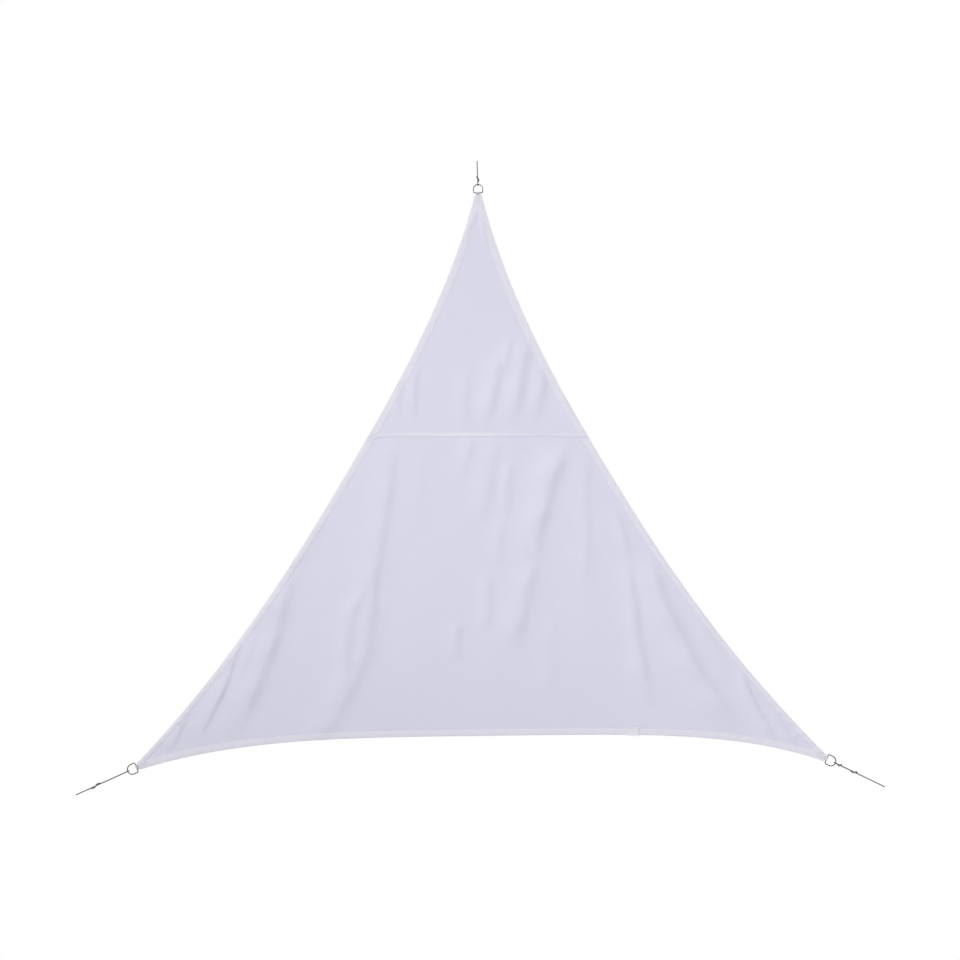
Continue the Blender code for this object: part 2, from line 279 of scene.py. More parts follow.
def fill(tree, made, sockets):
    """Fill a node's inputs: another node's output is linked, a plain value stays on the socket."""
    for key, value in sockets.items():
        if isinstance(value, bpy.types.NodeSocket):
            tree.links.new(value, made.inputs[key])
        else:
            made.inputs[key].default_value = value


def node(tree, kind, sockets=None, **settings):
    """A new node with its own settings and its inputs filled."""
    made = tree.nodes.new(f"ShaderNode{kind}")
    for key, value in settings.items():
        setattr(made, key, value)
    fill(tree, made, sockets or {})
    return made


print("node helpers ready")

# %% Pattern helpers
def combined(tree, operation, one, other):
    """The sum, product or maximum of two values."""
    return node(tree, "Math", {0: one, 1: other}, operation=operation).outputs[0]


def ranged(tree, value, **limits):
    """A value moved from one range to another, from 0 to 1 where nothing else is said."""
    sockets = {"Value": value}
    for key, limit in limits.items():
        sockets[key.replace("_", " ").title()] = limit
    return node(tree, "MapRange", sockets).outputs[0]


def attribute(tree, name, output="Fac"):
    return node(tree, "Attribute", attribute_name=name).outputs[output]


def mix_colours(tree, share, low, high):
    """A mix of two colours. Each is an RGB triple or another node's colour."""
    made = node(tree, "Mix", data_type="RGBA")
    for key, value in (("A", low), ("B", high)):
        socket = next(s for s in made.inputs if s.name == key and s.type == "RGBA")
        if isinstance(value, bpy.types.NodeSocket):
            tree.links.new(value, socket)
        else:
            socket.default_value = (*value, 1.0)
    tree.links.new(share, made.inputs["Factor"])
    return next(s for s in made.outputs if s.type == "RGBA")


def noise(tree, scale, detail=3.0):
    """Soft noise between about 0.3 and 0.7, in the object's own metres, each axis times its scale."""
    place = node(tree, "TexCoord").outputs["Object"]
    vector = node(tree, "Mapping", {"Vector": place, "Scale": scale}).outputs[0]
    return node(tree, "TexNoise", {"Vector": vector, "Scale": 1.0, "Detail": detail}).outputs["Fac"]


def raised(tree, height, distance, below=None):
    """A bump node for a height in metres times distance, on top of another one if given."""
    sockets = {"Height": height, "Distance": distance, "Strength": 1.0}
    if below is not None:
        sockets["Normal"] = below
    return node(tree, "Bump", sockets).outputs["Normal"]


print("pattern helpers ready")

# %% [markdown]
# ## The ropes
#
# Each rope is about 5 mm of braided polyester cord: its tail goes through the ring, turns back and
# winds round the standing part, and the standing part runs to the next fixing. The route is worked
# out in the corner's directions and repeats that of the plain solid, so the rope lies where its
# solid lies. The braid could be an image or a bump, but the rope is seen against empty air, where
# only real relief gives it a woven outline. So the tube itself is fine enough to carry the plaits.

# %% Rope sizes and route
ROPE = 0.0025             # radius
ROPE_GAP = 0.0003         # air between two strands, and between a strand and the ring
WIRE = 0.0025             # radius of the ring's wire
BAR_OUT = 0.008           # from the cut-off corner to the ring's straight bar
RING_WIDE = 0.043         # ring, wire centre to wire centre
RING_HIGH = 0.041
PARTING = 0.012           # from the ring's crown to where the two strands meet
ROUTE_STEP = 0.0012       # between the points that the route is worked out at
ROPE_STEP = 0.00065       # between the rings of the finished tube
# For each rope: where its tail ends, and where the tail winds once round the standing part.
TAILS = {
    "head": (0.052, [(0.010, 0.046)]),
    "left": (0.190, [(0.116, 0.178)]),
    "right": (0.120, [(0.012, 0.032), (0.070, 0.110)]),
}


def rope_route(name):
    """The rope's middle line: back along its tail to the ring, round the crown, and out to its end."""
    tail_end, winds = TAILS[name]
    crown = BAR_OUT + RING_HIGH
    apart = 2 * ROPE + ROPE_GAP
    bend = WIRE + ROPE + ROPE_GAP
    distance = np.arange(tail_end, 0.0, -ROUTE_STEP)
    parted = 1 - smooth(distance / PARTING)
    wound = sum(smooth((distance - start) / (end - start)) for start, end in winds)
    turn = np.radians(90) + 2 * np.pi * wound
    spread = apart + (2 * bend - apart) * parted
    tail = np.stack([crown + distance, spread * np.cos(turn), spread * np.sin(turn) - bend * parted], -1)
    half_turn = np.radians(np.linspace(90, 270, 14))
    loop = np.stack([crown + bend * np.cos(half_turn), 0 * half_turn, bend * np.sin(half_turn)], -1)
    distance = np.arange(ROUTE_STEP, ROPE_REACH[name] - crown, ROUTE_STEP)
    standing = np.stack([crown + distance, 0 * distance, -bend * (1 - smooth(distance / PARTING))], -1)
    end = [[ROPE_REACH[name], 0.0, 0.0]]
    return in_room(name, np.concatenate([tail, loop, standing, end]))


rope_paths = {name: evenly(rope_route(name), ROPE_STEP) for name in ROPE_REACH}

# %% [markdown]
# The cord is grey with a slight olive cast. Polyester cord looks like that from a distance because
# each plait is a bundle of pale fibres, and the gaps between the bundles lie in shade. The depth in the
# braid is already known for each point, so one mix between a dark and a light grey paints that shade:
# dark in the gaps, light on the crests. The cut ends are melted, which makes them darker and glossier.

# %% Rope material
rope_material, tree, shader = new_material("rope_cord")
# Painted shade: the braid's depth picks dark grey in its gaps and light grey on its crests.
braid_gap_shade = mix_colours(tree, attribute(tree, "braid"), (0.075, 0.074, 0.064), (0.265, 0.261, 0.232))
fibres = noise(tree, (2600.0, 2600.0, 2600.0))
flecked = mix_colours(tree, fibres, braid_gap_shade, (0.17, 0.167, 0.149))
sealed_end = attribute(tree, "sealed")
fill(tree, shader, {
    "Base Color": mix_colours(tree, sealed_end, flecked, (0.035, 0.034, 0.030)),
    "Roughness": ranged(tree, sealed_end, to_min=0.78, to_max=0.35),
    "Normal": raised(tree, fibres, 0.00012),
    "Specular IOR Level": 0.2,
})
print("rope material:", len(tree.nodes), "nodes")

# %% [markdown]
# A round braid is a checkerboard wrapped round a tube. Eight plaits run one way round and eight the
# other way, and where two cross, one lies on top. Each crossing is one cell of the board: across the
# plait that is on top the surface is round, and along it the surface dives at both ends, under its
# neighbours.

# %% Braided tubes
PLAITS = 8
PLAIT_RUN = 0.0031        # how far the braid advances for one crossing
BRAID_RELIEF = 0.00038
SEAL = 0.0042             # length of the melted end
END_ROUND = 0.0012        # over which the cut end is round
ROPE_SIDES = 32


def braid_height(turn, run):
    """Height of the braid, 0 in its gaps and 1 on its crests, from the turn round it and the distance."""
    one = PLAITS * turn / (2 * np.pi) + run / PLAIT_RUN
    other = PLAITS * turn / (2 * np.pi) - run / PLAIT_RUN
    over = (np.floor(one) + np.floor(other)) % 2 < 0.5
    a, b = one % 1, other % 1
    across = np.where(over, a, b)
    lengthways = np.where(over, b, a)
    return np.sqrt(1 - (2 * across - 1) ** 2) * np.sin(np.pi * lengthways) ** 0.4


def braided_rope(name):
    path = rope_paths[name]
    run = along(path)
    to_end = np.minimum(run, run[-1] - run)
    sealed = 1 - smooth((to_end - 0.6 * SEAL) / (0.4 * SEAL))
    turn = 2 * np.pi * np.arange(ROPE_SIDES) / ROPE_SIDES
    height = braid_height(turn[None, :], run[:, None])
    relief = BRAID_RELIEF * (height - 0.75) * (1 - 0.8 * sealed[:, None])
    swell = 1 + 0.05 * bump_at(to_end, 0.6 * SEAL, 0.4 * SEAL)
    radius = ((ROPE - 0.0001) * swell[:, None] + relief) * rounded(to_end, END_ROUND, 0.05)[:, None]
    rings = tube_rings(path, *untwisted(path), radius)
    points = np.concatenate([rings.reshape(-1, 3), path[:1], path[-1:]])
    ends = np.array([0.5, 0.5])
    # The braid's depth is kept for the material, which paints the gaps in shade.
    kept = {
        "braid": np.concatenate([height.ravel(), ends]),
        "sealed": np.concatenate([np.repeat(sealed, ROPE_SIDES), 2 * ends]),
    }
    faces = tube_faces(len(path), ROPE_SIDES, closed=False)
    rope = piece_from(f"rope_cord_{name}", points, faces, rope_material, "rope", kept, 75, f"rope_{name}")


for corner_name in ROPE_REACH:
    braided_rope(corner_name)

# %% [markdown]
# ## The outline of the sail
#
# A sail that is pulled only at its corners needs hollow edges, or they would flap. Each edge is a
# straight line between two corners, pulled in by a sag. A circle's arc would do for a drawing, but
# the real edges run almost straight out of the corners and bend more in the middle, and not the same
# on both halves. A power curve with one power for each half follows that, with only three numbers.

# %% Hollow edges
TIP_HALF = 0.015          # half the width of each cut-off corner
# start corner and side, end corner and side, sag, fullness of each half, and which way is inwards
EDGES = {
    "left_side": ("head", 1, "left", -1, 0.148, 2.77, 2.40, 1),
    "right_side": ("head", -1, "right", 1, 0.169, 2.64, 2.23, -1),
    "bottom": ("left", 1, "right", -1, 0.125, 3.48, 4.23, 1),
}


def edge_point(name, t):
    """Points of a hollow edge as two arrays, x and z, for t from 0 to 1."""
    start, start_side, end, end_side, sag, start_power, end_power, inward = EDGES[name]
    ax, _, az = corner_point(start, 0.0, start_side * TIP_HALF, 0.0)
    bx, _, bz = corner_point(end, 0.0, end_side * TIP_HALF, 0.0)
    length = math.hypot(bx - ax, bz - az)
    t = np.asarray(t, float)
    hollow = sag * (1 - np.abs(2 * t - 1) ** np.where(t < 0.5, start_power, end_power)) * inward
    return ax + (bx - ax) * t - (bz - az) / length * hollow, az + (bz - az) * t + (bx - ax) / length * hollow


def edge_at_height(name, z):
    """The share of a side edge at which it passes a height, by halving."""
    low, high = 0.0, 1.0
    for _ in range(40):
        half = (low + high) / 2
        low, high = (half, high) if edge_point(name, half)[1] > z else (low, half)
    return low


for edge_name in EDGES:
    ends = edge_point(edge_name, [0.0, 0.5, 1.0])
    print(edge_name, "passes", [(round(float(x), 3), round(float(z), 3)) for x, z in zip(*ends)])

# %% [markdown]
# ## Belly and folds
#
# The cloth is not flat. Its middle is slack and bulges a little to the front, and soft folds run
# down it where the pull of the corners is uneven. A cloth simulation of such a big sheet would give
# other folds on each try, and these folds have known places. So each fold is a row in a table: a
# ridge along a bent line, a height, and how quickly each flank falls away. A wide left flank and a
# narrow right one turn a plain ridge into cloth that leans over.

# %% Belly
BELLY = 0.040             # how far the middle bulges to the front


def belly(x, z):
    """Three shares that multiply to 0 on the triangle's sides and to 1/27 in its middle."""
    (x0, z0), (x1, z1), (x2, z2) = ((corners[n].x, corners[n].z) for n in ("head", "left", "right"))
    area = (x1 - x0) * (z2 - z0) - (x2 - x0) * (z1 - z0)
    b = ((x - x0) * (z2 - z0) - (x2 - x0) * (z - z0)) / area
    c = ((x1 - x0) * (z - z0) - (x - x0) * (z1 - z0)) / area
    return BELLY * 27 * np.maximum(0.0, (1 - b - c) * b * c)


print("belly at the seam:", round(float(belly(0.0, -1.3)), 4))

# %% Fold tables
# start, bend and end of the ridge as (x, z), its rise, and the widths of its left and right flanks
FOLDS = [
    ((0.214, -0.84), (0.197, -1.05), (0.140, -1.29), 0.0060, 0.050, 0.028),
    ((0.088, -0.92), (0.076, -1.09), (0.024, -1.30), 0.0054, 0.045, 0.026),
    ((0.275, -0.95), (0.287, -1.10), (0.246, -1.27), 0.0040, 0.040, 0.024),
    ((-0.050, -0.98), (-0.058, -1.14), (-0.052, -1.30), 0.0032, 0.045, 0.024),
    ((-0.268, -0.97), (-0.286, -1.10), (-0.290, -1.25), 0.0036, 0.035, 0.017),
    ((-0.358, -1.02), (-0.356, -1.14), (-0.352, -1.25), 0.0028, 0.030, 0.018),
    ((-0.380, -1.32), (-0.408, -1.62), (-0.470, -2.04), 0.0050, 0.070, 0.028),
    ((-0.456, -1.84), (-0.466, -2.05), (-0.490, -2.36), 0.0054, 0.060, 0.030),
    ((-0.478, -2.22), (-0.570, -2.47), (-0.720, -2.70), 0.0056, 0.070, 0.034),
    ((-0.480, -1.95), (-0.560, -2.16), (-0.565, -2.48), 0.0045, 0.050, 0.026),
    ((-0.830, -1.90), (-0.905, -2.25), (-1.080, -2.68), 0.0078, 0.080, 0.034),
    ((-1.035, -2.22), (-1.112, -2.45), (-1.220, -2.68), 0.0048, 0.045, 0.013),
    ((0.735, -1.80), (0.893, -2.24), (1.165, -2.67), 0.0092, 0.080, 0.034),
    ((0.660, -1.83), (0.692, -2.15), (0.752, -2.54), 0.0052, 0.050, 0.023),
    ((1.130, -2.33), (1.212, -2.51), (1.305, -2.69), 0.0040, 0.034, 0.010),
    ((0.425, -1.30), (0.322, -1.54), (0.250, -1.92), 0.0082, 0.070, 0.034),
    ((0.248, -1.85), (0.211, -2.04), (0.138, -2.29), 0.0054, 0.060, 0.030),
    ((0.090, -1.31), (0.052, -1.50), (0.010, -1.74), 0.0036, 0.050, 0.028),
    ((0.488, -1.33), (0.484, -1.68), (0.478, -2.10), 0.0024, 0.045, 0.022),
]
# The smaller creases, most of them near the corners, the seam and the hems.
CREASES = [
    ((0.006, -0.22), (-0.034, -0.31), (-0.062, -0.42), 0.0022, 0.012, 0.011),
    ((0.004, -0.22), (0.028, -0.33), (0.060, -0.47), 0.0022, 0.011, 0.011),
    ((0.150, -0.84), (0.140, -0.93), (0.118, -1.04), 0.0030, 0.030, 0.018),
    ((0.370, -1.10), (0.400, -1.18), (0.436, -1.27), 0.0028, 0.030, 0.019),
    ((-0.034, -1.31), (-0.042, -1.39), (-0.060, -1.52), 0.0026, 0.034, 0.022),
    ((0.148, -1.42), (0.136, -1.56), (0.128, -1.70), 0.0032, 0.035, 0.022),
    ((0.108, -1.68), (0.098, -1.80), (0.084, -1.92), 0.0022, 0.036, 0.024),
    ((0.048, -1.93), (0.044, -2.06), (0.036, -2.20), 0.0034, 0.035, 0.022),
    ((-0.092, -2.14), (-0.090, -2.23), (-0.092, -2.32), 0.0036, 0.030, 0.020),
    ((-1.270, -2.54), (-1.300, -2.63), (-1.340, -2.72), 0.0030, 0.028, 0.015),
    ((-0.690, -1.66), (-0.745, -1.79), (-0.835, -1.94), 0.0030, 0.034, 0.036),
    ((-0.955, -2.06), (-1.000, -2.26), (-1.090, -2.50), 0.0020, 0.040, 0.022),
    ((1.290, -2.52), (1.335, -2.62), (1.385, -2.70), 0.0024, 0.026, 0.014),
    ((0.960, -2.02), (1.020, -2.22), (1.110, -2.44), 0.0024, 0.050, 0.028),
    ((0.600, -1.64), (0.640, -1.75), (0.690, -1.88), 0.0030, 0.030, 0.020),
    ((0.330, -2.10), (0.318, -2.30), (0.312, -2.52), 0.0016, 0.050, 0.034),
    ((-0.240, -1.36), (-0.262, -1.56), (-0.276, -1.80), 0.0014, 0.050, 0.034),
]
print(len(FOLDS), "folds and", len(CREASES), "creases")

# %% Depth of the cloth
FOLD_FADE = 0.28          # share of a fold's length over which it rises and dies away
WANDER = 0.003            # how far a fold strays from its line


def ridge(fold, x, z):
    """How far one fold brings the cloth forward."""
    (x0, z0), (xb, zb), (x1, z1), rise, left, right = fold
    t = (z - z0) / (z1 - z0)
    tb = (zb - z0) / (z1 - z0)
    bow = (xb - x0 - (x1 - x0) * tb) / (tb * (1 - tb))
    inside = np.clip(t, 0.0, 1.0)
    line = x0 + (x1 - x0) * inside + bow * inside * (1 - inside) + WANDER * np.sin(21 * z + 40 * x0)
    slant = (x1 - x0 + bow * (1 - 2 * inside)) / (z1 - z0)
    away = (x - line) / np.hypot(1, slant)
    flank = np.where(away < 0, left, right)
    uneven = 1 + 0.18 * np.sin(33 * z + 90 * x0)
    fade = smooth(t / FOLD_FADE) * smooth((1 - t) / FOLD_FADE)
    return rise * uneven * fade * bump_at(away, 0.0, flank)


def unevenness(x, z):
    """The last slack in the cloth: slow, shallow waves, steeper across the sail than down it."""
    across = np.sin(7.1 * x + 1.3 * z + 0.6) * np.sin(1.7 * z + 0.9 * x)
    fine = np.sin(17.3 * x - 3.1 * z + 1.9) * np.sin(3.3 * z + 2.2)
    return 0.0011 * across + 0.0006 * fine


def cloth_depth(x, z):
    """The depth of the middle of the cloth."""
    folds = sum(ridge(fold, x, z) for fold in FOLDS + CREASES)
    return -belly(x, z) - folds + unevenness(x, z) * np.minimum(1.0, belly(x, z) / 0.01)


print("depth at the seam:", round(float(cloth_depth(0.0, -1.3)), 4))

# %% [markdown]
# ## The hem
#
# A hem is the cloth's own edge, turned twice and sewn down, so it is not a piece of its own. Seen
# from the front it is a slightly raised band, round at the outer fold, with a groove where the
# thread pulls it in and a small step down to the single cloth. That profile is a function of one
# number, the distance from the edge. The grid of the cloth gets extra columns just where the
# profile bends. The thread also gathers the cloth a little, which shows as shallow puckers.

# %% Hem profile
HEM = 0.030               # hem width
STITCH_IN = 0.026         # the stitch line, measured from the edge
CLOTH_HALF = 0.00035      # half the thickness of single cloth
HEM_HALF = 0.00105        # half the thickness of the turned hem
HEM_STEP = 0.0014         # width of the step down to single cloth
OUTER_FOLD = 0.0016       # how far in the cloth is round at the outer fold
GROOVE = 0.00035          # how far the thread pulls the cloth in
PUCKER = 0.00075          # height of the gathers beside the stitches
PUCKER_RUN = 0.046        # from one gather to the next
HEM_STATIONS = np.array([0.0, 0.0005, 0.0016, 0.005, 0.011, 0.018, 0.0235, 0.0252, 0.0260, 0.0268,
                         0.0285, 0.0298, 0.0312, 0.036])


def doubled(inside):
    """1 in the hem, 0 in single cloth."""
    return 1 - smooth((inside - (HEM - 0.0006)) / HEM_STEP)


def hem_half(inside):
    """Half the thickness at a distance from the edge."""
    flat = CLOTH_HALF + (HEM_HALF - CLOTH_HALF) * doubled(inside)
    return flat * rounded(inside, OUTER_FOLD) - GROOVE * bump_at(inside, STITCH_IN, 0.0009)


def puckers(inside, run):
    """Shallow gathers along the stitch line, by the distance from the edge and along it."""
    beat = np.sin(2 * np.pi * run / PUCKER_RUN + 1.7 * np.sin(run * 7.3))
    return PUCKER * beat * (0.6 + 0.4 * np.sin(run * 11.9 + 1.1)) * bump_at(inside, STITCH_IN, 0.017)


print("hem half thickness in mm:", np.round(1000 * hem_half(HEM_STATIONS), 2).tolist())

# %% [markdown]
# ## The two panels
#
# The upper panel is a narrow triangle, so straight rows from edge to edge follow it well. The lower
# one is a four-sided field with three curved sides. Its rows start as the straight seam, and each
# takes over a little more of the hollow of the bottom edge, which is the idea of a Coons patch. Both
# functions return the same things for a share across and a level down: a place in the plane of the
# sail, and the distances from the edges, which the hem and the materials need.

# %% Upper panel layout
LAP = 0.018               # overlap of the two panels at the seam
SEAM_Z = -1.307           # upper edge of the lower panel
SEAM_DIP = 0.020          # how far the seam's left end is drawn down
DIP_WIDTH = 0.075         # and over what width
HEM_SLANT = math.cos(math.radians(30))
SIDES = ("left_side", "right_side")
UPPER_BOTTOM = SEAM_Z - LAP
UPPER_HEIGHT = float(edge_point("left_side", 0.0)[1]) - UPPER_BOTTOM
upper_ends = [edge_at_height(side, UPPER_BOTTOM) for side in SIDES]
seam_left = [float(v) for v in edge_point("left_side", upper_ends[0])]
dipped_end = edge_at_height("left_side", seam_left[1] - SEAM_DIP)
dip_slant = (float(edge_point("left_side", dipped_end)[0]) - seam_left[0]) / SEAM_DIP


def upper_edges(level):
    """The two ends of a row, each as x and z."""
    return [edge_point(side, end * level) for side, end in zip(SIDES, upper_ends)]


def row_width(edges, level):
    (ax, az), (bx, bz) = edges(level)
    return np.hypot(bx - ax, bz - az)


def seam_dip(x, level):
    """How far the lap's left end is drawn down into the side hem."""
    return SEAM_DIP * smooth(1 - (x - seam_left[0]) / DIP_WIDTH) ** 1.4 * smooth((level - 0.93) / 0.05)


def upper_place(share, level):
    (ax, az), (bx, bz) = upper_edges(level)
    x, z = ax + (bx - ax) * share, az + (bz - az) * share
    dip = seam_dip(x, level)
    return {
        "x": x + dip * dip_slant,
        "z": z - dip,
        "side": np.minimum(share, 1 - share) * row_width(upper_edges, level) * HEM_SLANT,
        "end": (1 - level) * UPPER_HEIGHT,
        "run": z,
    }


print("upper panel:", round(UPPER_HEIGHT, 3), "m high")

# %% Lower panel layout
LOWER_HEIGHT = SEAM_Z - float(edge_point("bottom", 0.5)[1])
HEM_LEVEL = 1 - HEM / LOWER_HEIGHT
seam_shares = {side: edge_at_height(side, SEAM_Z) for side in SIDES}


def lower_side(side, tip, tip_sides, level):
    """The panel's left or right boundary: down the side edge, then across the cut-off corner."""
    start = seam_shares[side]
    down = np.minimum(level / HEM_LEVEL, 1.0)
    x, z = edge_point(side, start + (1 - start) * down)
    round_tip = np.maximum(level - HEM_LEVEL, 0.0) / (1 - HEM_LEVEL)
    high, low = (corner_point(tip, 0.0, s * TIP_HALF, 0.0) for s in tip_sides)
    return x + (low[0] - high[0]) * round_tip, z + (low[2] - high[2]) * round_tip


def lower_edges(level):
    return lower_side("left_side", "left", (-1, 1), level), lower_side("right_side", "right", (1, -1), level)


def lower_place(share, level):
    (ax, az), (bx, bz) = lower_edges(level)
    hollow_x, hollow_z = edge_point("bottom", share)
    ends = zip(edge_point("bottom", 0.0), edge_point("bottom", 1.0))
    line_x, line_z = (start + (end - start) * share for start, end in ends)
    z = az + (bz - az) * share + (hollow_z - line_z) * level
    return {
        "x": ax + (bx - ax) * share + (hollow_x - line_x) * level,
        "z": z,
        "side": np.minimum(share, 1 - share) * row_width(lower_edges, level) * HEM_SLANT,
        "end": (1 - level) * LOWER_HEIGHT,
        "run": z,
    }


print("lower panel:", round(LOWER_HEIGHT, 3), "m high in the middle")

# %% [markdown]
# Now the profile, the folds and the layout come together. For the lower panel the nearest of the
# side and bottom hems counts. The upper panel has its turned lap at the bottom, which stands in front
# of the lower panel by about the cloth's thickness, and swells a little, so that it catches the light.

# %% Cloth surfaces
LAP_HALF = 0.0005         # half the thickness of the lap
LAP_PROUD = 0.00095       # how far the lap stands in front of the lower panel
LAP_STEP = 0.0022         # over which the lap thins to single cloth
LAP_FOLD = 0.0014         # how far in the lap's lower edge is round
LAP_SWELL = 0.0003        # how far the lap swells between its two stitch lines
SEAM_GROOVE = 0.00025     # how far the thread pulls the lap in
SEAM_ROWS = (0.0034, 0.0146)                          # stitch lines, from the lap's lower edge
LAP_STATIONS = np.array([0.0, 0.0005, 0.0014, 0.0026, SEAM_ROWS[0], 0.0042, 0.009, 0.0138,
                         SEAM_ROWS[1], 0.0154, 0.018, 0.0205, 0.026])


def two_faces(x, y, z, half):
    """The front and the back of a sheet, from the depth of its middle and half its thickness."""
    return np.stack([x, y - half, z], -1), np.stack([x, y + half, z], -1)


def upper_surface(share, level):
    """Front and back of the upper panel, and how much of hem and of lap there is at each point."""
    at = upper_place(share, level)
    in_lap = 1 - smooth((at["end"] - LAP) / LAP_STEP)
    stitches = sum(bump_at(at["end"], row, 0.0008) for row in SEAM_ROWS)
    half = hem_half(at["side"]) * (1 - in_lap) + LAP_HALF * in_lap * rounded(at["end"], LAP_FOLD)
    half = half - SEAM_GROOVE * stitches
    forward = LAP_PROUD * smooth((level - 0.6) / 0.3) + LAP_SWELL * bump_at(at["end"], LAP / 2, 0.006)
    y = cloth_depth(at["x"], at["z"]) - forward + puckers(at["side"], at["run"]) * (1 - in_lap)
    clean = in_lap * (0.72 + 0.28 * np.sin(9.0 * at["x"] + 2.4) - 0.25 * smooth((at["x"] - 0.15) / 0.3))
    return *two_faces(at["x"], y, at["z"], half), doubled(at["side"]) * (1 - in_lap), clean


def lower_surface(share, level):
    """The same for the lower panel, which is single cloth behind the lap."""
    at = lower_place(share, level)
    side, bottom = hem_half(at["side"]), hem_half(at["end"])
    at_rim = np.minimum(at["side"], at["end"]) < 0.002
    half = np.where(at_rim, np.minimum(side, bottom), np.maximum(side, bottom))
    free = 1 - smooth((LAP + 0.004 - level * LOWER_HEIGHT) / 0.004)
    half = half * free + CLOTH_HALF * (1 - free)
    gathers = puckers(at["side"], at["run"]) + puckers(at["end"], at["x"])
    y = cloth_depth(at["x"], at["z"]) + gathers * free
    hem = np.maximum(doubled(at["side"]), doubled(at["end"])) * free
    return *two_faces(at["x"], y, at["z"], half), hem, 0 * hem


print("seam stands forward by", round(1000 * LAP_PROUD, 2), "mm")

# %% [markdown]
# ## Cloth material
#
# From a few metres the cloth is a matt, faintly lavender white. Close up it is a plain weave: each
# thread passes over one and under the next. Two wave textures give the round threads in both
# directions, and a checker texture decides which of the two lies on top. Slubs, the thicker places in
# a thread, are noise that is stretched far along it. Where the cloth is doubled in a hem or a lap,
# less light goes through and the white looks cleaner, so the number of layers picks the colour. A
# little of the shader is translucent, because thin polyester glows when the sun is behind it.

# %% Weave
THREAD_PITCH = 0.0009     # from one thread of the weave to the next


def stripes(tree, vector, pitch, direction):
    """Soft waves across one direction."""
    sockets = {"Vector": vector, "Scale": 0.1 * math.pi / pitch, "Distortion": 0.0}
    return node(tree, "TexWave", sockets, bands_direction=direction).outputs["Fac"]


def weave_height(tree, pitch):
    """Plain weave in the plane of the sail, one thread for each pitch."""
    place = node(tree, "TexCoord").outputs["Object"]
    shift = (0.0, pitch / 2, 0.0)
    flat = node(tree, "Mapping", {"Vector": place, "Location": shift, "Scale": (1.0, 0.0, 1.0)})
    flat = flat.outputs[0]
    warp_threads, weft_threads = (stripes(tree, flat, pitch, direction) for direction in ("X", "Z"))
    over = node(tree, "TexChecker", {"Vector": flat, "Scale": 1 / pitch}).outputs["Fac"]
    mixed = node(tree, "Mix", {"Factor": over, "A": warp_threads, "B": weft_threads}, data_type="FLOAT")
    return mixed.outputs["Result"]


cloth_material, tree, shader = new_material("sail_polyester")
warp = noise(tree, (420.0, 1.0, 3.5))
weft = noise(tree, (3.5, 1.0, 420.0))
slubs = combined(tree, "ADD", warp, weft)
half_slubs = combined(tree, "MULTIPLY", slubs, 0.5)
field = mix_colours(tree, half_slubs, (0.735, 0.725, 0.835), (0.805, 0.798, 0.905))
hemmed = mix_colours(tree, attribute(tree, "hem"), field, (0.812, 0.805, 0.882))
cloth_colour = mix_colours(tree, attribute(tree, "lap"), hemmed, (0.865, 0.858, 0.945))
woven = raised(tree, weave_height(tree, THREAD_PITCH), 0.00010)
slubbed = raised(tree, slubs, 0.00030, woven)
fill(tree, shader, {
    "Base Color": cloth_colour,
    "Roughness": ranged(tree, warp, to_min=0.80, to_max=0.95),
    "Normal": slubbed,
    "Specular IOR Level": 0.25,
    "Sheen Weight": 0.12,
})
glow = node(tree, "BsdfTranslucent", {"Color": cloth_colour, "Normal": slubbed})
both = node(tree, "MixShader", {0: 0.18, 1: shader.outputs[0], 2: glow.outputs[0]})
fill(tree, tree.nodes["Material Output"], {"Surface": both.outputs[0]})
print("cloth material:", len(tree.nodes), "nodes")

# %% [markdown]
# ## Making the panels
#
# The field needs a point about every centimetre for its folds, and the hems need one every few
# millimetres across but not along. So the columns and rows crowd at the edges and open up between,
# which keeps each panel under 200 000 triangles.

# %% Panel meshes
CROWDING = 0.45           # how much closer the columns stand near the sides, where the creases are thin


def hem_scale(width):
    """How much the hem's columns spread along a slanting row, and how much they give way in the tip."""
    return np.minimum(1 / HEM_SLANT, 0.25 * width / HEM)


def shares_across(width, count):
    """Shares across a row: the hem's stations at both ends, and even steps between."""
    hem = HEM_STATIONS * hem_scale(width) / width
    even = np.linspace(0, 1, count)
    crowded = even - CROWDING * np.sin(2 * np.pi * even) / (2 * np.pi)
    return np.concatenate([hem[:-1], hem[-1] + (1 - 2 * hem[-1]) * crowded, 1 - hem[:-1][::-1]])


def levels_down(start, stations, height, rows):
    """Levels from a start to the lower edge: even rows, then one for each station near the edge."""
    near_edge = 1 - stations[::-1] / height
    return np.concatenate([np.linspace(start, near_edge[0], rows), near_edge[1:]])


def cloth_panel(name, replaced, surface, edges, levels, columns):
    """A closed sheet from a surface function, with its own columns on each row."""
    share = np.stack([shares_across(row_width(edges, level), columns) for level in levels])
    level = np.repeat(levels[:, None], share.shape[1], 1)
    front, back, hem, lap = surface(share, level)
    kept = {"hem": np.tile(hem.ravel(), 2), "lap": np.tile(lap.ravel(), 2)}
    return piece_from(name, *closed_sheet(front, back), cloth_material, "sail_cloth", kept, replaced=replaced)


levels = levels_down(0.0, LAP_STATIONS, UPPER_HEIGHT, rows=118)
upper_cloth = cloth_panel("upper_cloth", "upper_panel", upper_surface, upper_edges, levels, columns=120)
levels = levels_down((LAP - 0.001) / LOWER_HEIGHT, HEM_STATIONS, LOWER_HEIGHT, rows=132)
levels = np.concatenate([[0.0], levels])
lower_cloth = cloth_panel("lower_cloth", "lower_panel", lower_surface, lower_edges, levels, columns=270)

# %% [markdown]
# ## Stitching
#
# A lockstitch shows as a row of short dashes that sink into the cloth at both ends. Each dash is a
# small spindle of thread. An array modifier along a curve could repeat one, but the rows lie on a
# folded surface, so it is simpler to read points off that surface and lay a spindle between each
# pair of them. All the stitches of a panel are joined in one mesh.

# %% Stitch rows
STITCH = 0.0040           # from one stitch to the next
STITCH_SHARE = 0.80       # how much of that the thread shows
THREAD = 0.00032          # radius of the thread
THREAD_SIDES = 5

